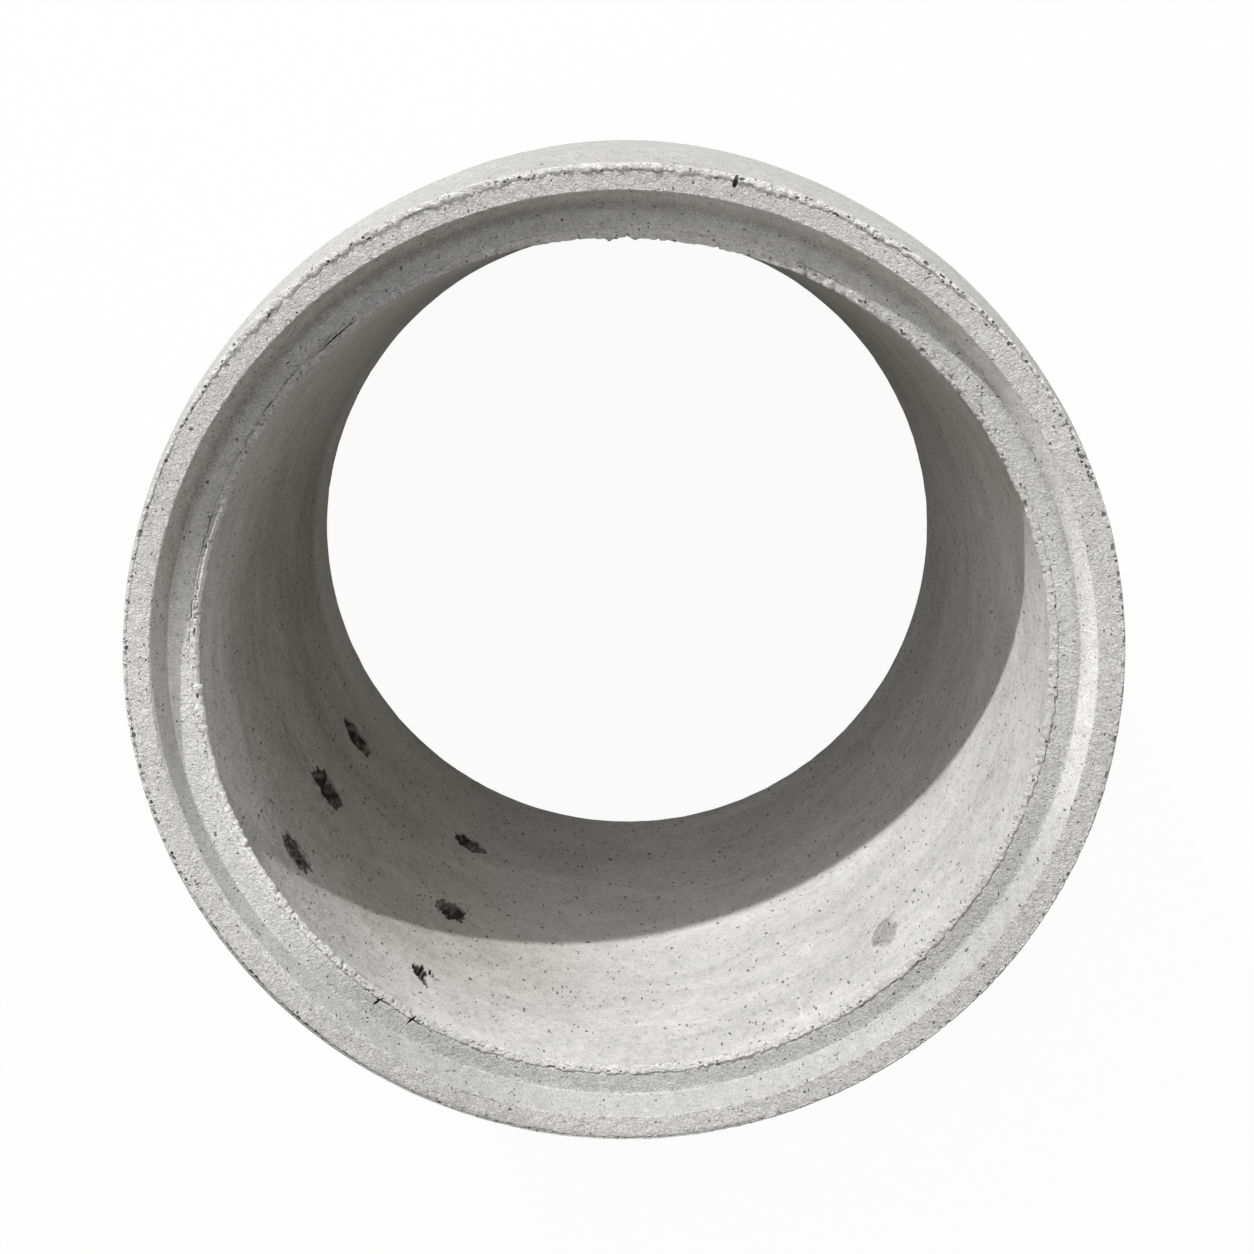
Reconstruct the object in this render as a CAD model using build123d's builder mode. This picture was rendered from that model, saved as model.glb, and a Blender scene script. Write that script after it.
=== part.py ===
from math import cos, radians, sin
import os

from build123d import *

# Precast concrete manhole ring, standing on its spigot end on a level floor, socket end up.
# Millimetres, +Z up along the ring's axis. The origin is on the floor, on that axis.

# Ring
bore_diameter = 1000.0
socket_wall = 80.0
body_length = 900.0
bore_draft = 50.0

# Outer wall: it swells from the socket's rim to its widest, then draws in to the spigot's shoulder
wall_swell = 16.0
swell_depth = 150.0

# Socket rebate at the upper end
rim_width = 30.0
rebate_depth = 36.0
rebate_draft = 17.0

# Spigot tongue at the lower end
joint_clearance = 4.0
seating_gap = 3.0

# Cast edges
arris_radius = 3.0
spigot_bore_radius = 6.0

# Pockets for the step irons, in two lines down the bore
pocket_diameter = 58.0
pocket_depth = 42.0
pocket_pitch = 255.0
pockets_per_line = 3
line_angles = (147.0, 120.0)
first_pocket_depths = (175.0, 150.0)

bore_radius = bore_diameter / 2
outer_radius = bore_radius + socket_wall
widest_radius = outer_radius + wall_swell
spigot_bore = bore_radius - bore_draft
tongue_length = rebate_depth - seating_gap
overall_length = body_length + tongue_length

# Rebate: a cone that narrows from the rim to a flat ledge around the bore
rebate_mouth = outer_radius - rim_width
rebate_root = rebate_mouth - rebate_draft

# Tongue: the same cone, drawn in by the joint clearance
tongue_root = rebate_mouth - joint_clearance
tongue_tip = tongue_root - rebate_draft * tongue_length / rebate_depth

# Section plane: x is the radius and y is the depth below the socket's rim
section = Plane(origin=(0, 0, overall_length), x_dir=(1, 0, 0), z_dir=(0, 1, 0))


def bore_radius_at(depth):
    """Radius of the drafted bore at a depth below the rim."""
    drafted_length = overall_length - rebate_depth
    return bore_radius - bore_draft * (depth - rebate_depth) / drafted_length


def pocket_plane(angle, depth):
    """Plane on the bore wall that faces the ring's axis, at an angle clockwise from +X."""
    turn = radians(angle)
    outward = Vector(cos(turn), -sin(turn), 0)
    mouth = section.origin + section.y_dir * depth + outward * bore_radius_at(depth)
    return Plane(origin=mouth, x_dir=section.y_dir, z_dir=-outward)


# Ring: one casting, turned about its axis
with BuildPart() as manhole_ring:
    with BuildSketch(section) as ring_section:
        with BuildLine():
            Polyline(
                (outer_radius, body_length),
                (tongue_root, body_length),
                (tongue_tip, overall_length),
                (spigot_bore, overall_length),
                (bore_radius, rebate_depth),
                (rebate_root, rebate_depth),
                (rebate_mouth, 0),
                (outer_radius, 0),
            )
            TangentArc((widest_radius, swell_depth), (outer_radius, 0), tangent=(0, -1))
            TangentArc((widest_radius, swell_depth), (outer_radius, body_length), tangent=(0, 1))
        make_face()
        spigot_bore_corner = ring_section.vertices().group_by(Axis.Y)[-1].sort_by(Axis.X)[0]
        widest_point = ring_section.vertices().sort_by(Axis.X)[-1]
        other_corners = ring_section.vertices() - [spigot_bore_corner, widest_point]
        fillet(spigot_bore_corner, spigot_bore_radius)
        fillet(other_corners, arris_radius)
    revolve(axis=Axis.Z)

    # Step iron pockets: blind round holes, square to the axis
    for line_angle, first_depth in zip(line_angles, first_pocket_depths):
        for step in range(pockets_per_line):
            with Locations(pocket_plane(line_angle, first_depth + step * pocket_pitch)):
                Hole(pocket_diameter / 2, pocket_depth)

manhole_ring.part.label = "manhole_ring"

os.makedirs("parts", exist_ok=True)
export_step(manhole_ring.part, "parts/manhole_ring.step")
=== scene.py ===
from bisect import bisect_right
from collections import namedtuple
from functools import lru_cache
from math import cos, exp, radians, sin, tau
import random

import bmesh
import bpy
from mathutils import Matrix, Vector, noise


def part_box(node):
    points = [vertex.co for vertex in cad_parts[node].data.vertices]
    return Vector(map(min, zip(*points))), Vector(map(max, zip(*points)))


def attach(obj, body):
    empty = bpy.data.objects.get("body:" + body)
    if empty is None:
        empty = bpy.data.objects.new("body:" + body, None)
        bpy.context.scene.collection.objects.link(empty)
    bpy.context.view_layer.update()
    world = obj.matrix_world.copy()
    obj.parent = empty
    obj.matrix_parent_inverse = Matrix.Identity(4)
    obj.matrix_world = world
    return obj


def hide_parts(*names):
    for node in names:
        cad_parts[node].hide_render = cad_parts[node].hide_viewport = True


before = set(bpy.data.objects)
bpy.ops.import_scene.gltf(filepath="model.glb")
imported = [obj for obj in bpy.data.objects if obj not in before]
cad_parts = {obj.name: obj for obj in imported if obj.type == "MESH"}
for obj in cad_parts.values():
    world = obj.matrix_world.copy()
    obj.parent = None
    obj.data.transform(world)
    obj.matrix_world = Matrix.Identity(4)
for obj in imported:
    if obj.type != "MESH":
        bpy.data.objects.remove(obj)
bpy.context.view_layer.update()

# Ring, in metres. Angles are in degrees, clockwise from +X as the camera sees the socket end.
ring_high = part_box("manhole_ring")[1]
widest_radius = ring_high.x
height = ring_high.z
outer_radius = 0.580
swell_depth = 0.150
bore_radius = 0.500
spigot_bore = 0.450
rebate_mouth = 0.550
rebate_root = 0.533
rebate_depth = 0.036
tongue_root = 0.546
tongue_tip = 0.5304
tongue_length = 0.033
ledge_height = height - rebate_depth

# The cast skin lies this far inside the outer wall and the rim, which leaves room for the flash.
wall_room = 0.0008
rim_room = 0.0034
rim_height = height - rim_room
edge_radius = outer_radius - wall_room

# Roundings of the section's corners
foot_rounding = 0.003
toe_rounding = 0.006
mouth_rounding = 0.0006

# The plain stretches of the section start this far from the finely divided ones.
foot_room = 0.030
toe_room = 0.020
lip_room = 0.035

# Vertices around the ring: fine at the socket's edges, coarser on the plain walls
fine_around = 1680
middle_around = fine_around // 2
coarse_around = fine_around // 8

# Rows down the plain stretches of the outer wall and the bore
wall_steps = 16
bore_steps = 18

row_fields = "surface across radius height out_radius out_height around ridge crease"
Row = namedtuple("Row", row_fields, defaults=(0.0, 0.0))

# Rows of the mesh down the wall from the rim: distance, share of the flash
wall_rows = [(0.0300, 0.0), (0.0140, 0.0), (0.0070, 0.15), (0.0034, 0.5), (0.0012, 0.9)]

# Rows across the flash: share of its width, share of its rise, share of its crease
seam_rows = [
    (0.06, 0.55, 0.0), (0.24, 0.80, 0.0), (0.45, 1.0, 0.0),
    (0.66, 0.95, 0.0), (0.86, 0.45, 0.3), (1.0, 0.0, 1.0),
]

# Rows across the rest of the rim: share of its width
face_rows = [0.05, 0.16, 0.29, 0.42, 0.56, 0.70, 0.84, 0.96]

# Rows across the ledge down to the lip's crease: share of the width, share of the crease
ledge_rows = [
    (0.97, 0.0), (0.82, 0.0), (0.66, 0.0), (0.50, 0.0),
    (0.34, 0.0), (0.20, 0.0), (0.08, 0.3), (0.0, 1.0),
]

# Rows across the lip around the bore: share of its width, share of its rise
lip_rows = [(0.93, 0.8), (0.80, 1.0), (0.62, 0.85), (0.44, 0.6), (0.24, 0.4), (0.07, 0.2)]

# Rows down the bore below its edge: distance, share of the lip
bore_rows = [(0.0048, 0.6), (0.0078, 0.3), (0.0115, 0.1), (0.0165, 0.0)]

# Flash along the rim's outer edge: angle, distance of its crease from the edge in mm, boldness
seam_course = [
    (0, 2.5, 0.20), (40, 2.2, 0.12), (120, 2.6, 0.12), (165, 2.8, 0.30), (200, 3.2, 0.45),
    (214, 4.4, 0.60), (224, 8.0, 0.95), (245, 9.2, 1.00), (258, 8.2, 1.00), (285, 8.4, 1.00),
    (305, 6.4, 1.00), (314, 3.8, 0.80), (338, 2.8, 0.35), (360, 2.5, 0.20),
]

# Lip around the bore: angle, its crease from the edge in mm, boldness, fall at the edge in mm
lip_course = [
    (0, 8.0, 1.0, 3.0), (22, 7.0, 1.2, 2.6), (60, 7.0, 1.2, 2.6), (95, 7.6, 1.2, 2.4),
    (112, 7.4, 1.2, 2.2), (124, 6.4, 1.3, 1.8), (138, 5.6, 1.3, 1.4), (165, 6.0, 1.4, 1.0),
    (182, 7.4, 1.9, 0.4), (202, 7.6, 1.9, 0.4), (212, 7.8, 1.5, 0.6), (231, 7.8, 1.6, 0.6),
    (236, 7.0, 0.7, 0.8), (275, 7.0, 0.9, 0.8), (300, 7.0, 1.3, 1.0), (330, 8.0, 1.1, 1.8),
    (360, 8.0, 1.0, 3.0),
]


def between(course, angle):
    """Values of a course at an angle, straight between its points."""
    angle = angle % 360
    for before, after in zip(course, course[1:]):
        if angle <= after[0]:
            share = (angle - before[0]) / (after[0] - before[0])
            return [a + (b - a) * share for a, b in zip(before[1:], after[1:])]
    return list(course[-1][1:])


def plain_rows(surface, start, end, steps, around):
    """Rows of a plain stretch of the section, from its first corner up to and without its second."""
    along = end - start
    out = Vector((along.y, -along.x)).normalized()
    rows = []
    for i in range(steps):
        point = start.lerp(end, i / steps)
        rows.append(Row(surface, 0, point.x, point.y, out.x, out.y, around))
    return rows


def rounded_rows(surface, before, corner, after, radius, around, steps=3):
    """Rows of a small arc that rounds a corner of the section."""
    into = (before - corner).normalized()
    out_of = (after - corner).normalized()
    away = -(into + out_of).normalized()
    rows = []
    for i in range(steps + 1):
        t = i / steps
        point = corner + into * radius * (1 - t) ** 2 + out_of * radius * t ** 2
        rows.append(Row(surface, 0, point.x, point.y, away.x, away.y, around))
    return rows


def bore_radius_at(rise):
    return spigot_bore + (bore_radius - spigot_bore) * rise / ledge_height


def wall_radius_at(rise):
    """The outer wall swells from the rim to its widest, then draws in to the shoulder."""
    depth = height - rise
    if depth < swell_depth:
        share = 1 - depth / swell_depth
    else:
        share = (depth - swell_depth) / (height - tongue_length - swell_depth)
    return outer_radius + (widest_radius - outer_radius) * (1 - share ** 2) - wall_room


def section_rows():
    """The closed section, from the foot of the outer wall up, over the socket and down the bore."""
    shoulder = Vector((wall_radius_at(tongue_length), tongue_length))
    root = Vector((tongue_root, tongue_length))
    tip = Vector((tongue_tip, 0))
    toe = Vector((spigot_bore, 0))
    mouth = Vector((rebate_mouth, rim_height))
    ledge_root = Vector((rebate_root, ledge_height))
    above = shoulder + Vector((0, 1))
    rows = rounded_rows("foot", root, shoulder, above, foot_rounding, coarse_around)
    low, high = tongue_length + foot_room, rim_height - wall_rows[0][0]
    for i in range(wall_steps):
        rise = low + (high - low) * i / wall_steps
        rows.append(Row("plain", 0, wall_radius_at(rise), rise, 1, 0, coarse_around))
    for down, ridge in wall_rows:
        rise = rim_height - down
        around = fine_around if ridge else middle_around
        rows.append(Row("wall", down, wall_radius_at(rise), rise, 1, 0, around, ridge))
    for share, ridge, crease in seam_rows:
        rows.append(Row("seam", share, edge_radius, rim_height, 0, 1, fine_around, ridge, crease))
    for share in face_rows:
        rows.append(Row("face", share, edge_radius, rim_height, 0, 1, fine_around))
    beside = mouth + Vector((1, 0))
    rows += rounded_rows("arris", beside, mouth, ledge_root, mouth_rounding, fine_around, 1)
    cone_start = mouth.lerp(ledge_root, 0.10)
    cone_end = mouth.lerp(ledge_root, 0.97)
    rows += plain_rows("cone", cone_start, cone_end, 5, middle_around)
    rows += plain_rows("cone", cone_end, ledge_root, 1, fine_around)
    for share, crease in ledge_rows:
        rows.append(Row("ledge", share, bore_radius, ledge_height, 0, 1, fine_around, crease=crease))
    for share, ridge in lip_rows:
        rows.append(Row("lip", share, bore_radius, ledge_height, 0, 1, fine_around, ridge))
    for down, ridge in bore_rows:
        rise = ledge_height - down
        rows.append(Row("edge", down, bore_radius_at(rise), rise, -1, 0, fine_around, ridge))
    top = ledge_height - lip_room
    bore_top = Vector((bore_radius_at(top), top))
    rows += plain_rows("plain", bore_top, toe + Vector((0, toe_room)), bore_steps, coarse_around)
    rows += rounded_rows("foot", bore_top, toe, tip, toe_rounding, coarse_around)
    rows += plain_rows("foot", toe.lerp(tip, 0.2), tip, 3, coarse_around)
    rows += rounded_rows("foot", toe, tip, root, foot_rounding, coarse_around)
    rows += rounded_rows("foot", tip, root, shoulder, foot_rounding, coarse_around)
    return rows


def wander(angle, radius, size, seed, octaves=2):
    """Noise along a circle, from about -1 to 1, with features of a size in metres."""
    turn = radians(angle)
    place = Vector((cos(turn) * radius / size, sin(turn) * radius / size, 17.3 * seed))
    return noise.fractal(place, 0.8, 2.1, octaves, noise_basis="PERLIN_ORIGINAL")


def ripple(point, size, octaves=3):
    """Noise over the surface, from about -1 to 1, with features of a size in metres."""
    return noise.fractal(point / size, 0.8, 2.1, octaves, noise_basis="PERLIN_ORIGINAL")


def cast_grain(place, depth, size, wave):
    """Height of a cast surface over its plain form: grain, slow waves and grit."""
    slow = 0.0005 * ripple(place, wave, 2)
    grit = 0.0003 * ripple(place, 0.005, 1)
    return depth * ripple(place, size) + slow + grit


def bump_at(angle, centre, spread):
    """A smooth swell around an angle, 1 at its centre."""
    away = (angle - centre + 180) % 360 - 180
    return exp(-((away / spread) ** 2))


def chips(angle, radius, size, seed, keep):
    """Sparse bites along an edge, 0 between them."""
    return max(0.0, wander(angle, radius, size, seed, 2) - keep)


class Flakes:
    """Flakes of flash that lie along an edge like scales, each higher at its end."""

    def __init__(self, seed, radius, shortest, longest):
        draw = random.Random(seed)
        self.length = tau * radius
        self.starts = [0.0]
        while self.starts[-1] < self.length - longest:
            self.starts.append(self.starts[-1] + draw.uniform(shortest, longest))
        self.heights = [draw.uniform(0.2, 1.0) for _ in self.starts]

    def at(self, angle):
        """Height of the flake at an angle, and how far along the flake it is."""
        place = (angle / 360 % 1.0) * self.length
        i = bisect_right(self.starts, place) - 1
        end = self.starts[i + 1] if i + 1 < len(self.starts) else self.length
        share = (place - self.starts[i]) / (end - self.starts[i])
        return self.heights[i] * (0.5 + 0.5 * share), share


seam_flakes = Flakes(seed=11, radius=outer_radius, shortest=0.008, longest=0.028)
lip_flakes = Flakes(seed=21, radius=bore_radius, shortest=0.009, longest=0.030)


@lru_cache(maxsize=None)
def seam_at(angle):
    """Width, rise, crease and fold of the flash along the rim's outer edge."""
    crease_at, bold = between(seam_course, angle)
    flake, _ = seam_flakes.at(angle)
    slow = wander(angle, outer_radius, 0.045, 1)
    quick = wander(angle, outer_radius, 0.007, 2, 3)
    width = 0.001 * crease_at * (1 + 0.30 * slow + 0.42 * quick)
    slit = 1 - min(1.0, 5 * chips(angle, outer_radius, 0.006, 10, 0.38))
    rise = rim_room * (0.1 + 0.95 * bold) * (0.35 + 0.75 * flake + 0.45 * quick) * slit
    broken = 0.75 + 1.3 * wander(angle, outer_radius, 0.030, 3)
    crease = 0.0014 * bold * min(max(broken, 0.15), 1.3)
    fold = 0.0020 * bold * max(0.0, wander(angle, outer_radius, 0.012, 12))
    return max(width, 0.0016), max(rise, 0.0), crease, fold


@lru_cache(maxsize=None)
def lip_at(angle):
    """Width, rise, crease, fall, furrow and curl of the lip around the bore."""
    crease_at, bold, fall = between(lip_course, angle)
    flake, along = lip_flakes.at(angle)
    quick = wander(angle, bore_radius, 0.006, 5, 3)
    slow = wander(angle, bore_radius, 0.035, 4)
    width = 0.001 * crease_at * (0.90 + 0.22 * along + 0.20 * slow + 0.12 * quick)
    rise = 0.0018 * bold * (0.35 + 0.60 * flake + 0.40 * quick)
    broken = 0.8 + 1.2 * wander(angle, bore_radius, 0.022, 6)
    crease = 0.0013 * bold * min(max(broken, 0.1), 1.3)
    furrow = 0.0022 * min(1.0, bump_at(angle, 194, 9) + bump_at(angle, 228, 5))
    curled = min(1.0, 1.2 * bump_at(angle, 194, 10) + 0.8 * bump_at(angle, 228, 4))
    curl = 0.0042 * curled * (0.75 + 0.35 * quick)
    return max(width, 0.0045), max(rise, 0.0), crease, 0.001 * fall, furrow, max(curl, 0.0)


def wear(angle):
    """The outer edge is worn back along the lower left."""
    return 0.0022 * bump_at(angle, 95, 38) + 0.0030 * bump_at(angle, 138, 20)


def edge_at(angle):
    """Radius of the rim's outer edge, which stands out a little at the upper right and upper left."""
    return edge_radius + 0.0038 * bump_at(angle, 334, 15) + 0.0016 * bump_at(angle, 226, 12)


def drawn_in(angle):
    """The lip and the bore's edge stand further in at the top."""
    return 0.0058 * bump_at(angle, 276, 26)


def edge_bite(angle):
    """Chips out of the rim's outer edge, more of them down the right side and the upper left."""
    more = min(1.0, bump_at(angle, 352, 36) + bump_at(angle, 178, 30))
    return 0.0085 * (0.5 + 0.9 * more) * chips(angle, outer_radius, 0.0060, 7, 0.24 - 0.10 * more)


def seam_point(row, angle, point):
    """Radius and height on the flash."""
    width, rise, crease, fold = seam_at(angle)
    radius = edge_at(angle) - row.across * width
    inward = row.across * width
    worn = wear(angle) * max(0.0, 1 - inward / 0.007)
    bite = edge_bite(angle) * max(0.0, 1 - inward / 0.0035)
    lumps = 1 + 0.9 * ripple(point + Vector((0, 0, row.across * width)), 0.007, 2)
    middle = 4 * row.across * (1 - row.across)
    rough = 0.0003 * ripple(point, 0.009)
    lift = row.ridge * rise * lumps - row.crease * crease - middle * fold + rough - worn - bite
    if row.across < 0.1:
        lift -= 0.0004
        radius += 0.0010 * min(rise / rim_room, 1.0)
    return radius - 0.8 * worn - bite, rim_height + lift


def face_point(row, angle, point):
    """Radius and height on the rim inside the flash."""
    width = seam_at(angle)[0]
    inner = edge_at(angle) - rebate_mouth
    inward = width + row.across * (inner - width)
    worn = wear(angle) * max(0.0, 1 - inward / 0.007)
    place = point + Vector((0, 0, inward))
    rough = cast_grain(place, depth=0.00045, size=0.009, wave=0.045)
    return edge_at(angle) - inward, rim_height + rough - worn


def wall_point(row, angle, point):
    """Radius and height on the outer wall just below the rim."""
    rise = seam_at(angle)[1]
    overhang = 0.0010 * row.ridge * min(rise / rim_room, 1.0)
    near = max(0.0, 1 - row.across / 0.006)
    rough = 0.0004 * ripple(point, 0.15) + 0.0003 * ripple(point, 0.02, 2)
    grown = (edge_at(angle) - edge_radius) * (1 - row.across / wall_rows[0][0])
    worn = 0.9 * wear(angle) * near + 1.2 * edge_bite(angle) * near
    return row.radius + grown + overhang + rough - worn, row.height


def ledge_point(row, angle, point):
    """Radius and height on the ledge outside the lip."""
    width, _, crease = lip_at(angle)[:3]
    outer = rebate_root - bore_radius
    across = width + row.across * (outer - width)
    place = point + Vector((0, 0, across))
    rough = cast_grain(place, depth=0.0005, size=0.008, wave=0.05)
    return bore_radius + across, ledge_height + rough - row.crease * crease


def lip_point(row, angle, point):
    """Radius and height on the lip around the bore."""
    width, rise, _, fall, furrow, curl = lip_at(angle)
    across = row.across * width
    place = point + Vector((0, 0, across))
    crumbs = 0.0014 * ripple(place, 0.005, 3)
    curled = curl * max(0.0, 1 - abs(row.across - 0.28) / 0.3)
    lift = row.ridge * rise + crumbs - fall * (1 - row.across) ** 2 + curled
    if 0.5 < row.across < 0.7:
        lift -= furrow
    bite = chips(angle, bore_radius, 0.006, 8, 0.20) * max(0.0, 1 - row.across / 0.5)
    hang = 0.0020 * between(lip_course, angle)[1] * lip_flakes.at(angle + 7)[0]
    inward = (hang + drawn_in(angle)) * (1 - row.across) ** 2
    return bore_radius + across - inward + 0.005 * bite, ledge_height + lift - 0.006 * bite


def edge_point(row, angle, point):
    """Radius and height just below the bore's edge, which is ragged and a little swollen."""
    near = max(0.0, 1 - row.across / 0.012)
    bold = between(lip_course, angle)[1]
    swell = row.ridge * bold * (0.0010 + 0.0034 * lip_flakes.at(angle + 7)[0])
    drips = 0.0050 * near * (bump_at(angle, 268.1, 0.35) + bump_at(angle, 271.5, 0.4))
    bite = 0.0060 * chips(angle, bore_radius, 0.006, 8, 0.20) * near
    crumbs = 0.0012 * near * ripple(point, 0.006, 3)
    inward = drawn_in(angle) * max(0.0, 1 - row.across / 0.016)
    return row.radius - swell - drips - crumbs - inward + bite, row.height


def plain_change(row, angle, point):
    """How far a plain surface lies out from its section."""
    if row.surface == "foot":
        return -0.0012 * abs(ripple(point, 0.02))
    if row.surface == "arris":
        return 0.0004 * ripple(point, 0.009) - 0.0030 * chips(angle, rebate_mouth, 0.007, 9, 0.2)
    return 0.0007 * ripple(point, 0.15) + 0.0002 * ripple(point, 0.02, 2)


shaped = {
    "seam": seam_point, "face": face_point, "wall": wall_point,
    "ledge": ledge_point, "lip": lip_point, "edge": edge_point,
}


def skin_point(row, angle):
    """A point of the cast skin, kept inside the ring's own outer sizes."""
    turn = radians(angle)
    flat = Vector((cos(turn), -sin(turn), 0))
    point = flat * row.radius + Vector((0, 0, row.height))
    if row.surface in shaped:
        radius, rise = shaped[row.surface](row, angle, point)
    else:
        amount = plain_change(row, angle, point)
        radius = row.radius + row.out_radius * amount
        rise = row.height + row.out_height * amount
    return flat * min(radius, widest_radius) + Vector((0, 0, min(max(rise, 0.0), height)))


def strip_faces(lower, upper):
    """Faces between two closed rows of vertices, where one may have a multiple of the other's count."""
    if len(lower) < len(upper):
        return [face[::-1] for face in strip_faces(upper, lower)]
    n, m = len(lower), len(upper)
    times = n // m
    middle = times // 2
    faces = []
    for j in range(m):
        here, ahead = upper[j], upper[(j + 1) % m]
        if times == 1:
            faces.append((lower[j], lower[(j + 1) % n], ahead, here))
            continue
        for k in range(times):
            apex = here if k < middle else ahead
            faces.append((lower[(j * times + k) % n], lower[(j * times + k + 1) % n], apex))
        faces.append((lower[(j * times + middle) % n], ahead, here))
    return faces


def make_skin():
    """The cast ring as one closed mesh, with its flash, lip and worn edges."""
    vertices, faces, loops = [], [], []
    for row in section_rows():
        loops.append(range(len(vertices), len(vertices) + row.around))
        for i in range(row.around):
            vertices.append(skin_point(row, 360 * i / row.around))
    for i, loop in enumerate(loops):
        faces += strip_faces(loop, loops[(i + 1) % len(loops)])
    mesh = bpy.data.meshes.new("cast_ring")
    mesh.from_pydata(vertices, [], faces)
    form = bmesh.new()
    form.from_mesh(mesh)
    bmesh.ops.recalc_face_normals(form, faces=form.faces)
    form.to_mesh(mesh)
    form.free()
    ring = bpy.data.objects.new("cast_ring", mesh)
    bpy.context.collection.objects.link(ring)
    return ring


def directions(angle):
    """Outward and clockwise directions at an angle."""
    turn = radians(angle)
    return Vector((cos(turn), -sin(turn), 0)), Vector((-sin(turn), -cos(turn), 0))


Layer = namedtuple("Layer", "form taken")


def free_layer(layers, centre, reach):
    """The first layer with room for a lump, so that no two lumps in one layer overlap."""
    for layer in layers:
        if all((centre - other).length > reach + others for other, others in layer.taken):
            break
    else:
        layer = Layer(bmesh.new(), [])
        layers.append(layer)
    layer.taken.append((centre, reach))
    return layer.form


def add_lump(layers, centre, axes, radii, rough, grain, seed, subdivisions):
    """Adds a rough closed lump to the layers, with a radius along each of its axes."""
    offset = Vector((seed * 7.31, seed * 3.17, seed * 5.53))
    form = free_layer(layers, centre, max(radii) * (1 + 1.5 * rough))
    made = bmesh.ops.create_icosphere(form, subdivisions=subdivisions, radius=1.0)
    for vertex in made["verts"]:
        unit = vertex.co.copy()
        swell = 1 + rough * noise.fractal(unit / grain + offset, 0.7, 2.2, 3)
        spread = [unit[k] * radii[k] * swell for k in range(3)]
        vertex.co = centre + axes[0] * spread[0] + axes[1] * spread[1] + axes[2] * spread[2]


def cut_layers(ring, layers, name):
    """Takes the layers of lumps out of the ring, one after another."""
    for layer in layers:
        cut(ring, layer.form, name)


def cut(ring, form, name):
    """Takes the lumps of a bmesh out of the ring."""
    mesh = bpy.data.meshes.new(name)
    form.to_mesh(mesh)
    form.free()
    cutter = bpy.data.objects.new(name, mesh)
    bpy.context.collection.objects.link(cutter)
    modifier = ring.modifiers.new(name, "BOOLEAN")
    modifier.operation = "DIFFERENCE"
    modifier.solver = "MANIFOLD"
    modifier.object = cutter
    graph = bpy.context.evaluated_depsgraph_get()
    result = bpy.data.meshes.new_from_object(ring.evaluated_get(graph))
    ring.modifiers.clear()
    ring.data = result
    bpy.data.objects.remove(cutter)


Hollow = namedtuple("Hollow", "angle depth across along deep rough")

# Pockets: angle, depth below the rim, radii around, along and into the wall, roughness
pockets = [
    Hollow(146.2, 0.178, 0.029, 0.028, 0.011, 0.30),
    Hollow(146.9, 0.438, 0.033, 0.037, 0.036, 0.36),
    Hollow(146.5, 0.686, 0.033, 0.031, 0.036, 0.26),
    Hollow(119.3, 0.397, 0.023, 0.030, 0.034, 0.34),
    Hollow(119.0, 0.663, 0.025, 0.027, 0.034, 0.26),
]

# The first pocket of the right line is broken out to a kite with two horns, a tail and a few cracks.
kite = [
    Hollow(121.5, 0.163, 0.0090, 0.012, 0.024, 0.20),
    Hollow(121.2, 0.153, 0.0082, 0.011, 0.022, 0.20),
    Hollow(120.6, 0.144, 0.0060, 0.009, 0.020, 0.20),
    Hollow(120.0, 0.136, 0.0038, 0.008, 0.016, 0.20),
    Hollow(119.6, 0.130, 0.0020, 0.006, 0.010, 0.20),
    Hollow(122.3, 0.167, 0.0034, 0.008, 0.016, 0.25),
    Hollow(121.0, 0.176, 0.0030, 0.009, 0.014, 0.25),
    Hollow(120.3, 0.163, 0.0034, 0.009, 0.014, 0.25),
    Hollow(119.7, 0.173, 0.0024, 0.010, 0.010, 0.30),
    Hollow(119.1, 0.166, 0.0030, 0.004, 0.004, 0.40),
    Hollow(118.3, 0.163, 0.0050, 0.003, 0.003, 0.40),
]

# Small pits in the bore and a short crack below its lip
bore_pits = [
    Hollow(91.7, 0.774, 0.0032, 0.0060, 0.005, 0.3),
    Hollow(74.0, 0.700, 0.0030, 0.0050, 0.005, 0.3),
    Hollow(71.9, 0.703, 0.0028, 0.0050, 0.005, 0.3),
    Hollow(128.3, 0.047, 0.0020, 0.0028, 0.004, 0.2),
    Hollow(126.8, 0.043, 0.0019, 0.0026, 0.004, 0.2),
    Hollow(225.1, 0.052, 0.0150, 0.0016, 0.005, 0.3),
]


def cut_hollows(ring):
    """The broken mouths of the pockets, the kite and the pits of the bore wall."""
    layers = []
    for i, hollow in enumerate(pockets + kite + bore_pits):
        outward, sideways = directions(hollow.angle)
        rise = height - hollow.depth
        centre = outward * bore_radius_at(rise) + Vector((0, 0, rise))
        radii = (hollow.across, hollow.deep, hollow.along)
        detail = 4 if hollow.across > 0.02 else 3 if hollow.deep > 0.012 else 2
        axes = (sideways, outward, Vector((0, 0, 1)))
        add_lump(layers, centre, axes, radii, hollow.rough, grain=0.42, seed=40 + i, subdivisions=detail)
    cut_layers(ring, layers, "hollow_lumps")


Nick = namedtuple("Nick", "angle inset along across deep turn")

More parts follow.
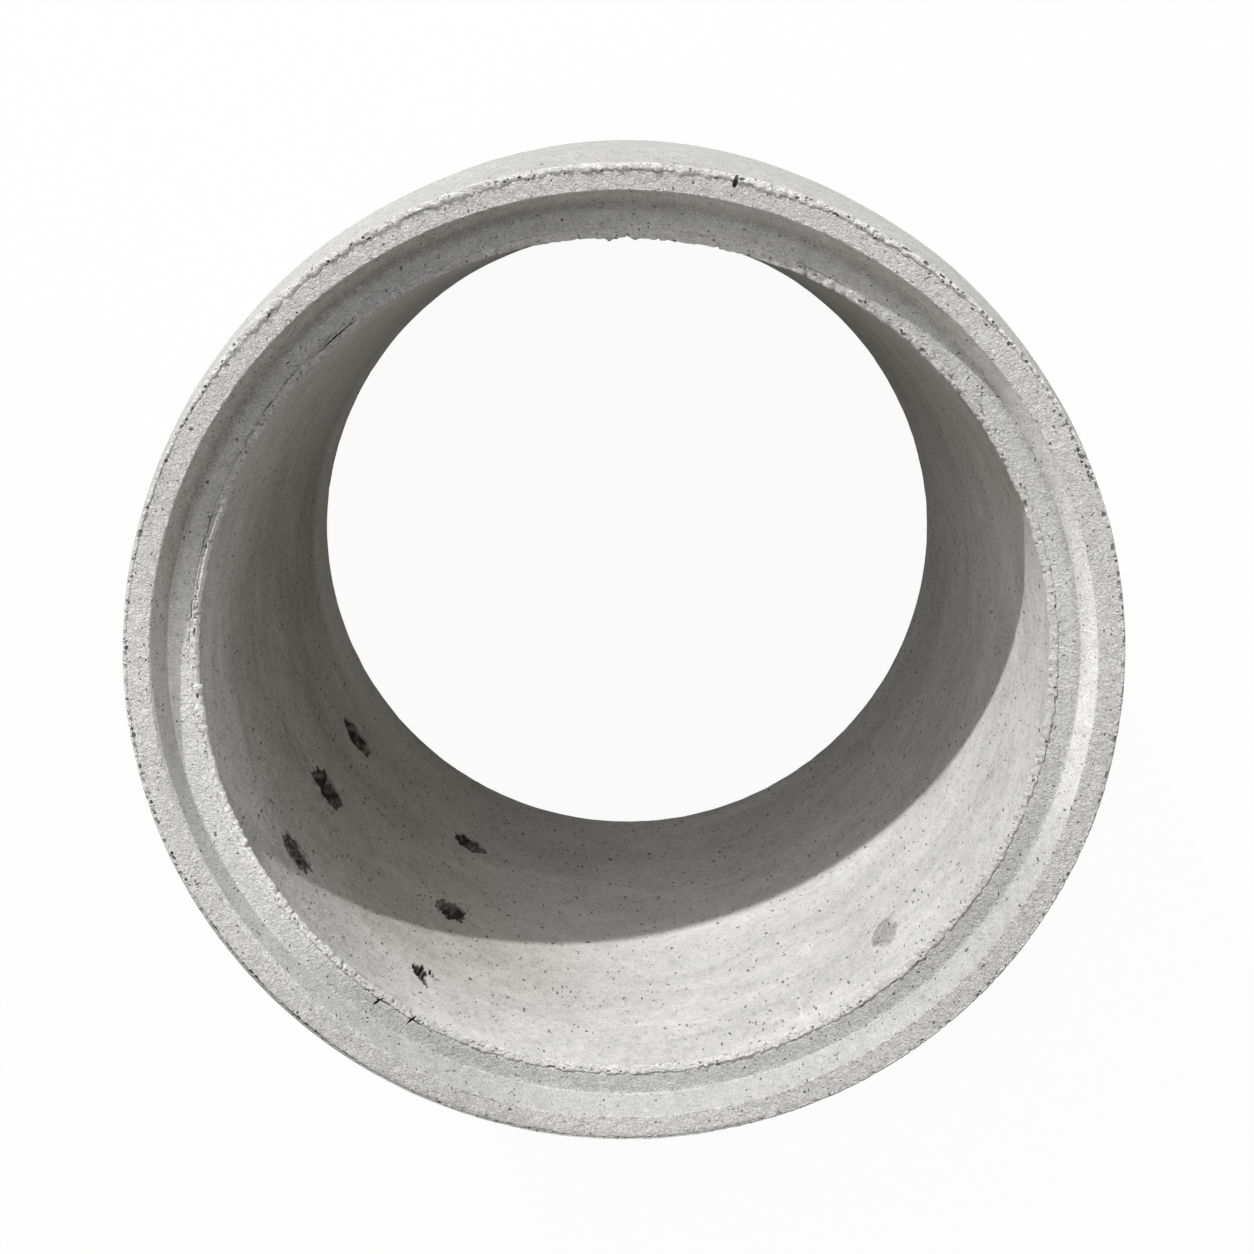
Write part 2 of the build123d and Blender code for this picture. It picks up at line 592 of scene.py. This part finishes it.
# Breaks in the rim: angle, distance from the outer edge, half length, half width and depth in mm, turn
rim_nicks = [Nick(*row) for row in [
    (282.6, 7, 8.0, 3.4, 6.0, 85), (283.0, 3, 7.5, 1.9, 4.0, 8), (294.3, 5, 4.0, 2.2, 3.0, 30),
    (319.0, 3, 3.5, 3.0, 3.5, 0), (334.3, 2, 5.5, 3.0, 4.0, 20), (341.5, 1, 4.5, 3.0, 4.0, 0),
    (332.0, 2, 3.5, 2.4, 3.5, 0), (337.1, 1, 4.5, 2.6, 3.5, 0), (348.7, 0, 5.0, 2.6, 4.0, 0),
    (250.9, 5, 9.0, 1.1, 2.4, -8), (260.0, 6, 2.5, 1.8, 2.4, 40), (267.5, 7, 3.5, 1.2, 2.4, -20),
    (299.5, 9, 3.0, 2.0, 2.5, 30), (307.0, 14, 4.5, 1.5, 2.0, 60), (308.2, 12, 3.0, 1.4, 2.0, -20),
    (238.0, 4, 5.0, 1.2, 2.4, 35), (226.0, 4, 3.0, 1.3, 2.2, 50), (345.5, 0, 6.0, 2.6, 4.0, 0),
    (352.6, 0, 4.0, 2.0, 3.0, 10), (356.3, 0, 5.0, 2.2, 3.5, 0), (2.4, 0, 3.6, 2.0, 3.0, 0),
    (153.9, 13, 1.8, 1.6, 3.0, 0), (153.2, 14, 1.5, 1.4, 3.0, 0), (7.7, 15, 1.9, 1.4, 2.5, 60),
]]

# Breaks in the lip: angle, distance from the bore's edge, half length, half width and depth in mm, turn
lip_nicks = [Nick(*row) for row in [
    (132.2, 3, 5.6, 1.0, 3.0, 88), (131.2, 6, 8.0, 0.9, 2.4, 8), (130.1, 1, 5.0, 1.0, 3.0, 80),
    (125.4, 10, 9.0, 2.0, 5.0, 70), (124.9, 7, 9.0, 1.8, 5.0, 15), (125.3, -1, 3.0, 1.2, 4.0, 85),
    (120.2, 9, 9.0, 2.0, 4.5, 72), (119.7, 8, 9.5, 1.9, 4.2, -8), (122.9, 8, 9.0, 0.8, 1.6, 40),
    (127.2, 4, 7.0, 1.0, 2.0, 12), (110.5, 9, 6.0, 1.0, 2.0, -10), (100.0, 6, 7.0, 2.2, 4.4, 5),
    (95.5, 8, 5.0, 1.0, 2.2, 0), (90.4, 5, 1.8, 1.5, 3.0, 0), (88.0, 10, 7.0, 1.0, 2.2, -4),
    (77.1, 5, 3.0, 1.2, 2.4, 60), (66.0, 8, 8.0, 1.2, 2.6, 6), (55.5, 9, 9.0, 1.4, 3.0, 8),
    (50.3, 8, 8.0, 1.3, 3.0, -6), (46.5, 9, 9.0, 1.2, 2.6, 6), (184.5, 3, 5.5, 1.8, 5.0, 0),
    (175.6, 2, 4.5, 1.8, 5.0, 0), (168.0, 4, 3.0, 1.2, 3.0, 20), (281.7, 3, 2.5, 1.8, 3.0, 20),
    (302.4, 2, 3.5, 1.6, 3.0, 0), (303.0, 4, 2.0, 2.6, 3.0, 0), (229.9, 4.7, 27.0, 1.1, 4.5, 0),
    (10.5, 6, 2.6, 2.2, 3.0, 0), (5.0, 8, 2.0, 1.6, 3.0, 0), (352.0, 7, 3.0, 1.8, 3.0, 20),
    (335.0, 5, 4.0, 1.4, 2.6, 10), (318.0, 4, 5.0, 1.4, 2.6, -8), (26.0, 8, 5.0, 1.2, 2.4, 8),
    (309.5, 1, 4.5, 3.0, 4.5, 0), (312.8, 2, 4.5, 2.6, 4.0, 10), (320.2, 0, 5.5, 2.8, 4.5, 0),
    (324.2, 0, 3.5, 2.2, 4.0, 0), (326.6, 1, 3.0, 2.0, 3.5, 0), (330.4, 1, 3.0, 1.8, 3.0, 0),
]]


def cut_nicks(ring):
    """Breaks in the rim and the lip."""
    layers = []
    places = [(nick, outer_radius - nick.inset / 1000, rim_height) for nick in rim_nicks]
    places += [(nick, bore_radius + nick.inset / 1000, ledge_height) for nick in lip_nicks]
    for i, (nick, radius, rise) in enumerate(places):
        outward, sideways = directions(nick.angle)
        turn = radians(nick.turn)
        along = sideways * cos(turn) + outward * sin(turn)
        across = outward * cos(turn) - sideways * sin(turn)
        centre = outward * radius + Vector((0, 0, rise))
        radii = (nick.along / 1000, nick.across / 1000, nick.deep / 1000)
        axes = (along, across, Vector((0, 0, 1)))
        add_lump(layers, centre, axes, radii, rough=0.4, grain=0.5, seed=60 + i, subdivisions=2)
    cut_layers(ring, layers, "nick_lumps")


def cut_pits(ring):
    """Small pits along the flash, the lip and the rim's two edges."""
    draw = random.Random(5)
    layers = []
    # Count, first and last angle, radius, spread across, height, size
    belts = [
        (60, 215, 335, outer_radius - 0.0060, 0.0030, rim_height, 1.1),
        (24, 112, 158, outer_radius - 0.0042, 0.0014, rim_height - 0.0014, 1.3),
        (46, 158, 222, outer_radius - 0.0026, 0.0018, rim_height + 0.0003, 1.5),
        (26, 286, 326, outer_radius - 0.0012, 0.0008, rim_height + 0.0014, 1.3),
        (50, 300, 395, outer_radius - 0.0012, 0.0016, rim_height, 1.4),
        (30, 35, 120, outer_radius - 0.0020, 0.0024, rim_height, 1.2),
        (78, 0, 150, bore_radius + 0.0035, 0.0034, ledge_height, 1.1),
        (50, 150, 360, bore_radius + 0.0030, 0.0030, ledge_height + 0.0006, 1.1),
        (28, 0, 360, rebate_mouth + 0.0020, 0.0015, rim_height, 1.0),
    ]
    for count, first, last, radius, spread, rise, larger in belts:
        for i in range(count):
            outward, sideways = directions(draw.uniform(first, last))
            place = outward * (radius + draw.uniform(-spread, spread)) + Vector((0, 0, rise))
            size = larger * draw.uniform(0.0009, 0.0020)
            radii = (size * draw.uniform(0.9, 1.9), size, size * 1.6)
            axes = (sideways, outward, Vector((0, 0, 1)))
            add_lump(layers, place, axes, radii, rough=0.3, grain=0.8, seed=i, subdivisions=1)
    cut_layers(ring, layers, "pit_lumps")


def drop_crumbs(ring):
    """Deletes what the cuts left loose, so that one closed shell remains."""
    form = bmesh.new()
    form.from_mesh(ring.data)
    waiting = [min(form.verts, key=lambda vertex: vertex.co.z)]
    shell = set(waiting)
    while waiting:
        vertex = waiting.pop()
        for edge in vertex.link_edges:
            neighbour = edge.other_vert(vertex)
            if neighbour not in shell:
                shell.add(neighbour)
                waiting.append(neighbour)
    crumbs = [vertex for vertex in form.verts if vertex not in shell]
    bmesh.ops.delete(form, geom=crumbs, context="VERTS")
    form.to_mesh(ring.data)
    form.free()


class Graph:
    """Short names for the nodes of one shader tree."""

    def __init__(self, tree):
        self.tree = tree

    def node(self, kind, inputs=None, **settings):
        made = self.tree.nodes.new(kind)
        for key, value in settings.items():
            setattr(made, key, value)
        for key, value in (inputs or {}).items():
            if isinstance(value, bpy.types.NodeSocket):
                self.tree.links.new(value, made.inputs[key])
            else:
                made.inputs[key].default_value = value
        return made

    def maths(self, operation, a, b=0.0):
        return self.node("ShaderNodeMath", {0: a, 1: b}, operation=operation).outputs[0]

    def difference(self, a, b):
        return self.maths("SUBTRACT", a, b)

    def rest(self, mask):
        return self.difference(1.0, mask)

    def product(self, *values):
        result = values[0]
        for value in values[1:]:
            result = self.maths("MULTIPLY", result, value)
        return result

    def total(self, *values):
        result = values[0]
        for value in values[1:]:
            result = self.maths("ADD", result, value)
        return result

    def noise(self, vector, scale, detail=2.0, rough=0.6, distortion=0.0):
        values = {"Vector": vector, "Scale": scale, "Detail": detail}
        values |= {"Roughness": rough, "Distortion": distortion}
        return self.node("ShaderNodeTexNoise", values).outputs["Fac"]

    def remap(self, value, low, high, to_low=0.0, to_high=1.0, smooth=False):
        kind = "SMOOTHSTEP" if smooth else "LINEAR"
        values = {"Value": value, "From Min": low, "From Max": high}
        values |= {"To Min": to_low, "To Max": to_high}
        return self.node("ShaderNodeMapRange", values, interpolation_type=kind).outputs["Result"]

    def down_to(self, mask, least):
        """1 where a mask is 0, and the least value where it is 1."""
        return self.remap(mask, 0.0, 1.0, 1.0, least)

    def swing(self, value, amount):
        """A noise value as a change to either side of 0."""
        return self.remap(value, 0.25, 0.75, -amount, amount)

    def vector(self, operation, a, b):
        return self.node("ShaderNodeVectorMath", {0: a, 1: b}, operation=operation)

    def scaled(self, vector, x, y, z):
        return self.vector("MULTIPLY", vector, (x, y, z)).outputs["Vector"]

    def mix(self, factor, a, b):
        return self.node("ShaderNodeMix", {0: factor, 6: a, 7: b}, data_type="RGBA").outputs[2]


def facing(graph, position, angle, spread):
    """1 where the ring faces an angle, 0 further from it than the spread."""
    level = graph.scaled(position, 1, 1, 0)
    flat = graph.node("ShaderNodeVectorMath", {0: level}, operation="NORMALIZE").outputs["Vector"]
    along = graph.vector("DOT_PRODUCT", flat, directions(angle)[0]).outputs["Value"]
    return graph.remap(along, cos(radians(spread)), 1.0, smooth=True)


def section_masks(graph, position):
    """Masks of the surfaces and of what is cut below the plain skin, from radius and height."""
    flat = graph.scaled(position, 1, 1, 0)
    radius = graph.node("ShaderNodeVectorMath", {0: flat}, operation="LENGTH").outputs["Value"]
    rise = graph.node("ShaderNodeSeparateXYZ", {0: position}).outputs["Z"]
    bore_at = graph.remap(rise, 0.0, ledge_height, spigot_bore, bore_radius)
    cone_at = graph.remap(rise, ledge_height, rim_height, rebate_root, rebate_mouth)
    below_rim = graph.difference(rim_height, rise)
    inside_edge = graph.difference(edge_radius, radius)
    from_bore = graph.difference(radius, bore_at)
    below_ledge = graph.difference(ledge_height, rise)
    lip_reach = 0.0105
    lip_fall = 0.0034
    rounded = graph.maths("POWER", graph.remap(from_bore, lip_reach, 0.0), 2.0)
    below_lip = graph.difference(below_ledge, graph.product(rounded, lip_fall))
    behind_cone = graph.difference(radius, cone_at)
    inner = graph.maths("MAXIMUM", graph.maths("MINIMUM", from_bore, below_lip), behind_cone)
    depth = graph.maths("MINIMUM", graph.maths("MINIMUM", inside_edge, below_rim), inner)
    from_root = graph.maths("ABSOLUTE", graph.difference(radius, rebate_root + 0.001))
    in_socket = graph.remap(rise, ledge_height - 0.006, ledge_height - 0.003)
    worn_left = graph.product(facing(graph, position, 150, 38), 0.0032)
    return {
        # Depth below the plain skin, where what is cut out gets painted shade
        "recess": graph.product(
            graph.remap(depth, 0.0010, 0.0034, smooth=True),
            graph.remap(rise, tongue_length + 0.0010, tongue_length + 0.0040),
        ),
        "rim": graph.product(
            graph.remap(rise, rim_height - 0.0035, rim_height - 0.0020),
            graph.remap(radius, rebate_mouth - 0.0002, rebate_mouth + 0.0008),
        ),
        "flash": graph.remap(rise, rim_height + 0.0006, rim_height + 0.0016),
        "wall": graph.product(
            graph.remap(radius, edge_radius - 0.0030, edge_radius - 0.0012),
            graph.remap(rise, rim_height - 0.0004, rim_height - 0.0030),
        ),
        "bore": graph.product(
            graph.remap(rise, ledge_height - 0.0035, ledge_height - 0.0055),
            graph.remap(radius, bore_radius + 0.020, bore_radius + 0.010),
        ),
        "lip": graph.product(graph.remap(from_bore, 0.0112, 0.0096), in_socket),
        "root": graph.product(graph.remap(from_root, 0.010, 0.001), in_socket),
        "cone": graph.product(
            graph.remap(radius, rebate_root + 0.0004, rebate_root + 0.0016),
            graph.remap(graph.total(radius, worn_left), rebate_mouth - 0.0002, rebate_mouth - 0.0014),
            in_socket,
        ),
    }


def pores(graph, position, scale, share, smallest, largest):
    """Round pores: a share of the cells holds one, most of them small."""
    values = {"Vector": position, "Scale": scale, "Randomness": 1.0}
    cells = graph.node("ShaderNodeTexVoronoi", values, feature="F1")
    draw = graph.node("ShaderNodeSeparateColor", {0: cells.outputs["Color"]}).outputs[0]
    chosen = graph.remap(draw, 1 - share, 1.0, 0.0, 1.0)
    size = graph.maths("POWER", chosen, 2.0)
    least = graph.remap(chosen, 0.0, 0.1, 0.0, smallest * scale)
    reach = graph.total(least, graph.product(size, (largest - smallest) * scale))
    inner = graph.difference(reach, cells.outputs["Distance"])
    return graph.remap(inner, 0.0, 0.0005 * scale, smooth=True)


def blot(graph, position, angle, depth, across, along, edge):
    """A soft-edged patch on the bore, 1 at its middle."""
    outward, sideways = directions(angle)
    rise = height - depth
    centre = outward * bore_radius_at(rise) + Vector((0, 0, rise))
    offset = graph.vector("SUBTRACT", position, centre).outputs["Vector"]
    aside = graph.vector("DOT_PRODUCT", offset, sideways / across).outputs["Value"]
    along_bore = graph.vector("DOT_PRODUCT", offset, Vector((0, 0, 1 / along))).outputs["Value"]
    inward = graph.vector("DOT_PRODUCT", offset, outward / 0.08).outputs["Value"]
    squares = [graph.product(value, value) for value in (aside, along_bore, inward)]
    return graph.remap(graph.total(*squares, edge), 1.15, 0.75, smooth=True)


def surface_colour(graph, position, place, masks, upper):
    """The colour of each surface, without its stains, with painted shade on the upper cone and the
    bore's shaded side and painted light on the cone's right.
    """
    rim_colour = (0.638, 0.635, 0.626, 1)
    flash_colour = (0.715, 0.713, 0.704, 1)
    wall_colour = (0.405, 0.404, 0.400, 1)
    ledge_colour = (0.560, 0.559, 0.546, 1)
    cone_low_colour = (0.462, 0.461, 0.461, 1)
    # Warmer cone colour for the upper side, which lies in shade: painted shade
    cone_painted_shade_colour = (0.490, 0.473, 0.440, 1)
    # Lighter cone colour for the right side, where the sun grazes it: painted light
    cone_painted_light_colour = (0.660, 0.657, 0.645, 1)
    bore_low_colour = (0.474, 0.472, 0.468, 1)
    # Darker, warmer bore colour for its shaded upper and left side: painted shade
    bore_painted_shade_colour = (0.335, 0.322, 0.292, 1)
    lip_low_colour = (0.620, 0.618, 0.612, 1)
    lip_high_colour = (0.615, 0.613, 0.602, 1)

    # Where the bore lies in shade, up top and deeper on the left, it takes the painted shade colour
    upper_bore = graph.remap(place["Y"], -0.02, 0.30, smooth=True)
    inside = graph.remap(place["Z"], ledge_height - 0.02, ledge_height - 0.28, smooth=True)
    left = graph.product(graph.remap(place["X"], 0.10, -0.35, smooth=True), inside)
    side = graph.maths("MAXIMUM", left, upper_bore)
    bore = graph.mix(side, bore_low_colour, bore_painted_shade_colour)
    # The cone's upper side takes the painted shade colour
    cone = graph.mix(upper, cone_low_colour, cone_painted_shade_colour)
    # The cone is painted lighter on its right side: painted light
    cone = graph.mix(facing(graph, position, 347, 42), cone, cone_painted_light_colour)
    lip = graph.mix(upper, lip_low_colour, lip_high_colour)
    colour = graph.mix(masks["lip"], ledge_colour, lip)
    colour = graph.mix(masks["bore"], colour, bore)
    colour = graph.mix(masks["cone"], colour, cone)
    colour = graph.mix(masks["rim"], colour, rim_colour)
    colour = graph.mix(masks["flash"], colour, flash_colour)
    return graph.mix(masks["wall"], colour, wall_colour)


def painted_light_and_shade(graph, position, place, masks):
    """Painted light and shade: lighter and darker tones by the side of the ring, the surface and the
    depth in the bore, standing in for how the light falls.
    """
    outside = graph.maths("MAXIMUM", masks["rim"], masks["wall"])
    off_bore = graph.rest(masks["bore"])
    off_cone = graph.product(off_bore, graph.rest(masks["cone"]))
    off_rim = graph.product(off_bore, graph.rest(outside))
    on_ledge = graph.product(off_rim, graph.rest(masks["cone"]))
    # The bore's far end, its far half on the left and its middle are painted lighter: painted light
    far_end = graph.remap(place["Z"], 0.16, 0.09, smooth=True)
    far_half = graph.remap(place["Z"], 0.38, 0.12, smooth=True)
    halfway = graph.product(
        graph.remap(place["Z"], 0.15, 0.40, smooth=True),
        graph.remap(place["Z"], 0.64, 0.48, smooth=True),
    )
    # Painted light and shade, row by row
    # Where, angle, spread in degrees, change
    painted_tones = [
        (far_end, 182, 50, 0.42),
        (far_half, 145, 32, 0.20),
        (halfway, 85, 60, 0.12),
        (masks["bore"], 158, 50, -0.14),
        (masks["bore"], 228, 32, 0.22),
        (masks["bore"], 328, 38, 0.14),
        (masks["cone"], 180, 26, -0.10),
        (masks["lip"], 224, 34, -0.06),
        (masks["lip"], 345, 44, -0.10),
        (masks["wall"], 222, 40, 0.12),
        (off_bore, 136, 48, -0.10),
        (off_bore, 162, 40, 0.14),
        (off_cone, 38, 45, -0.10),
        (off_rim, 230, 55, -0.24),
        (off_rim, 345, 45, 0.14),
        (on_ledge, 165, 40, 0.25),
    ]
    changes = []
    for where, angle, spread, change in painted_tones:
        changes.append(graph.product(facing(graph, position, angle, spread), where, change))
    return changes


def bore_marks(graph, position, middle, grain):
    """The rough patch, the smudge and the scratch at the lower right of the bore."""
    ragged = graph.swing(middle, 0.35)
    patch = blot(graph, position, 48.9, depth=0.163, across=0.020, along=0.036, edge=ragged)
    smudge = blot(graph, position, 61.4, depth=0.262, across=0.012, along=0.017, edge=ragged)
    scratch = blot(graph, position, 64.1, depth=0.108, across=0.0018, along=0.050, edge=ragged)
    return [
        graph.product(patch, -0.20),
        graph.product(patch, graph.remap(grain, 0.52, 0.60), -0.60),
        graph.product(smudge, 0.12),
        graph.product(scratch, 0.16),
    ]


def dark_spots(graph, position, masks, middle):
    """Pores, which are drawn out in the bore, and painted shade on the mottled ground of what is cut
    out.
    """
    values = {"Vector": position, "Scale": 90.0, "Detail": 1.0}
    shift = graph.node("ShaderNodeTexNoise", values).outputs["Color"]
    bent = graph.vector("ADD", position, graph.scaled(shift, 0.012, 0.012, 0.012)).outputs["Vector"]
    drawn_out = graph.scaled(bent, 1, 1, 0.3)
    around = graph.mix(masks["bore"], bent, drawn_out)
    coarse_pore = pores(graph, around, 175.0, share=0.60, smallest=0.0008, largest=0.0019)
    fine_pore = pores(graph, around, 320.0, share=0.60, smallest=0.0005, largest=0.0009)

    in_kite = blot(graph, position, 120.6, depth=0.158, across=0.034, along=0.038, edge=0.0)
    # What is cut below the skin is painted darker, mottled, and evenly dark in the kite: painted shade
    rubble_shade = graph.remap(middle, 0.44, 0.62, 0.14, 0.62)
    rubble_shade = graph.product(rubble_shade, graph.down_to(in_kite, 0.0))
    rubble_shade = graph.total(rubble_shade, graph.product(in_kite, 0.22))
    return graph.product(
        graph.down_to(coarse_pore, 0.28),
        graph.down_to(fine_pore, 0.50),
        graph.down_to(masks["recess"], rubble_shade),
    )


def cast_bump(graph, position, masks, wrinkle):
    """Flaky skin with fine wrinkles, weaker on the cone, the bore and the wall."""
    flaky = graph.noise(position, 210.0, rough=0.75, distortion=0.9)
    strength = graph.product(
        graph.remap(masks["cone"], 0.0, 1.0, 0.90, 0.50),
        graph.down_to(masks["bore"], 0.50),
        graph.down_to(masks["wall"], 0.60),
    )
    relief = graph.product(graph.total(flaky, graph.product(wrinkle, -0.11)), 0.0052)
    sockets = {"Strength": strength, "Distance": 1.0, "Height": relief}
    return graph.node("ShaderNodeBump", sockets).outputs["Normal"]


def concrete():
    """Light grey cast concrete: mottling, stains, grain and pores, with painted light and shade by side
    and depth, and a darker, warmer painted shade on the bore's shaded side.
    """
    material = bpy.data.materials.new("cast_concrete")
    material.use_nodes = True
    tree = material.node_tree
    graph = Graph(tree)
    shader = tree.nodes["Principled BSDF"]
    position = graph.node("ShaderNodeTexCoord").outputs["Object"]
    place = graph.node("ShaderNodeSeparateXYZ", {0: position}).outputs
    masks = section_masks(graph, position)
    upper = graph.remap(place["Y"], -0.15, 0.20, smooth=True)

    broad = graph.noise(position, 9.0)
    band = graph.noise(graph.scaled(position, 6, 6, 13), 1.0, detail=3.0, distortion=0.8)
    middle = graph.noise(position, 70.0, rough=0.65)
    grain = graph.noise(position, 330.0, rough=0.75)
    streak = graph.noise(graph.scaled(position, 110, 110, 60), 1.0, rough=0.65)
    stain = graph.total(broad, graph.product(middle, 0.4))
    folded = graph.noise(position, 95.0, distortion=1.2)
    from_crest = graph.maths("ABSOLUTE", graph.difference(folded, 0.5))
    wrinkle = graph.maths("POWER", graph.remap(from_crest, 0.0, 0.05, 1.0, 0.0), 2.0)

    amount = graph.total(
        1.0,
        graph.swing(broad, 0.09),
        graph.swing(middle, 0.12),
        graph.swing(grain, 0.20),
        graph.product(graph.swing(band, 0.15), masks["bore"]),
        # The bore is painted paler towards its far end: painted light
        graph.product(graph.remap(place["Z"], ledge_height, 0.0), masks["bore"], 0.16),
        graph.product(graph.remap(streak, 0.56, 0.68), masks["bore"], -0.14),
        graph.product(graph.remap(stain, 0.55, 0.85, smooth=True), -0.05),
        # Darker lines along the wrinkles off the bore, standing in for their shading: painted shade
        graph.product(wrinkle, graph.rest(masks["bore"]), -0.08),
        # Painted shade in the crease at the cone's root, on the upper side
        graph.product(masks["root"], upper, -0.20),
        *painted_light_and_shade(graph, position, place, masks),
        *bore_marks(graph, position, middle, grain),
    )
    share = graph.product(amount, dark_spots(graph, position, masks, middle))
    paint = {0: surface_colour(graph, position, place, masks, upper), 3: share}
    painted = graph.node("ShaderNodeVectorMath", paint, operation="SCALE")
    tree.links.new(painted.outputs["Vector"], shader.inputs["Base Color"])
    tree.links.new(cast_bump(graph, position, masks, wrinkle), shader.inputs["Normal"])
    shader.inputs["Roughness"].default_value = 0.92
    shader.inputs["Diffuse Roughness"].default_value = 0.8
    shader.inputs["Specular IOR Level"].default_value = 0.2
    return material


def make_ring():
    """The cast ring with its pockets, nicks and pits, in its concrete."""
    ring = make_skin()
    cut_hollows(ring)
    cut_nicks(ring)
    cut_pits(ring)
    drop_crumbs(ring)
    ring.data.polygons.foreach_set("use_smooth", [True] * len(ring.data.polygons))
    ring.data.set_sharp_from_angle(angle=radians(50))
    ring.data.materials.clear()
    ring.data.materials.append(concrete())
    return ring


def seen_directly(graph):
    """1 for what the camera sees, directly or in glass and gloss."""
    path = graph.node("ShaderNodeLightPath")
    seen = graph.maths("MAXIMUM", path.outputs["Is Camera Ray"], path.outputs["Is Glossy Ray"])
    return graph.maths("MAXIMUM", seen, path.outputs["Is Transmission Ray"])


def make_floor():
    """A pale floor that reads as white, with the ring's shadow on it."""
    half = 12.0
    mesh = bpy.data.meshes.new("floor")
    corners = [(-half, -half, 0), (half, -half, 0), (half, half, 0), (-half, half, 0)]
    mesh.from_pydata(corners, [], [(0, 1, 2, 3)])
    floor = bpy.data.objects.new("floor", mesh)
    bpy.context.collection.objects.link(floor)
    material = bpy.data.materials.new("pale_floor")
    material.use_nodes = True
    tree = material.node_tree
    tree.nodes.clear()
    graph = Graph(tree)
    lit = graph.node("ShaderNodeBsdfDiffuse", {"Color": (0.75, 0.75, 0.75, 1)}).outputs[0]
    white = graph.node("ShaderNodeEmission", {"Color": (1, 1, 1, 1), "Strength": 1.0}).outputs[0]
    share = graph.product(seen_directly(graph), 0.95)
    mixed = graph.node("ShaderNodeMixShader", {0: share, 1: lit, 2: white}).outputs[0]
    graph.node("ShaderNodeOutputMaterial", {"Surface": mixed})
    mesh.materials.append(material)


def make_world():
    """Soft light from all round, stronger from the side of the key light."""
    world = bpy.data.worlds.new("studio")
    bpy.context.scene.world = world
    world.use_nodes = True
    tree = world.node_tree
    tree.nodes.clear()
    graph = Graph(tree)
    direction = graph.node("ShaderNodeTexCoord").outputs["Generated"]
    side = graph.node("ShaderNodeSeparateXYZ", {0: direction}).outputs["Y"]
    strength = graph.remap(side, 0.0, 1.0, 0.56, 1.45)
    tint = (1.0, 0.994, 0.982, 1)
    soft = graph.node("ShaderNodeBackground", {"Color": tint, "Strength": strength}).outputs[0]
    white = graph.node("ShaderNodeBackground", {"Color": (1, 1, 1, 1), "Strength": 1.0}).outputs[0]
    sockets = {0: seen_directly(graph), 1: soft, 2: white}
    mixed = graph.node("ShaderNodeMixShader", sockets).outputs[0]
    graph.node("ShaderNodeOutputWorld", {"Surface": mixed})


def make_key_light():
    """A sun from the upper left of the socket end, which draws the shadow line in the bore."""
    across = radians(65.5)
    inward = radians(25.0)
    travel = Vector((cos(across) * cos(inward), -sin(across) * cos(inward), -sin(inward)))
    lamp = bpy.data.lights.new("key", "SUN")
    lamp.energy = 3.1
    lamp.angle = radians(1.2)
    lamp.color = (1.0, 0.998, 0.99)
    key = bpy.data.objects.new("key", lamp)
    key.rotation_euler = travel.to_track_quat("-Z", "Y").to_euler()
    bpy.context.collection.objects.link(key)


def make_camera():
    """The photograph's view: above the socket end, a little off the ring's axis."""
    photo_width = 1254
    focal_pixels = 2621.07
    back = Vector((0.00407, 0.20793, 0.97814)).normalized()
    place = Vector((0.01636, 0.68111, height + 2.95566))
    lens = bpy.data.cameras.new("view")
    lens.sensor_width = 36.0
    lens.lens = lens.sensor_width * focal_pixels / photo_width
    lens.clip_end = 100.0
    right = Vector((0, 1, 0)).cross(back).normalized()
    up = back.cross(right)
    camera = bpy.data.objects.new("view", lens)
    turn = Matrix((right, up, back)).transposed().to_4x4()
    camera.matrix_world = Matrix.Translation(place) @ turn
    bpy.context.collection.objects.link(camera)
    bpy.context.scene.camera = camera


make_camera()
make_world()
make_key_light()
make_floor()

ring = make_ring()
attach(ring, "root")
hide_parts("manhole_ring")

bpy.context.scene.view_settings.view_transform = "Standard"
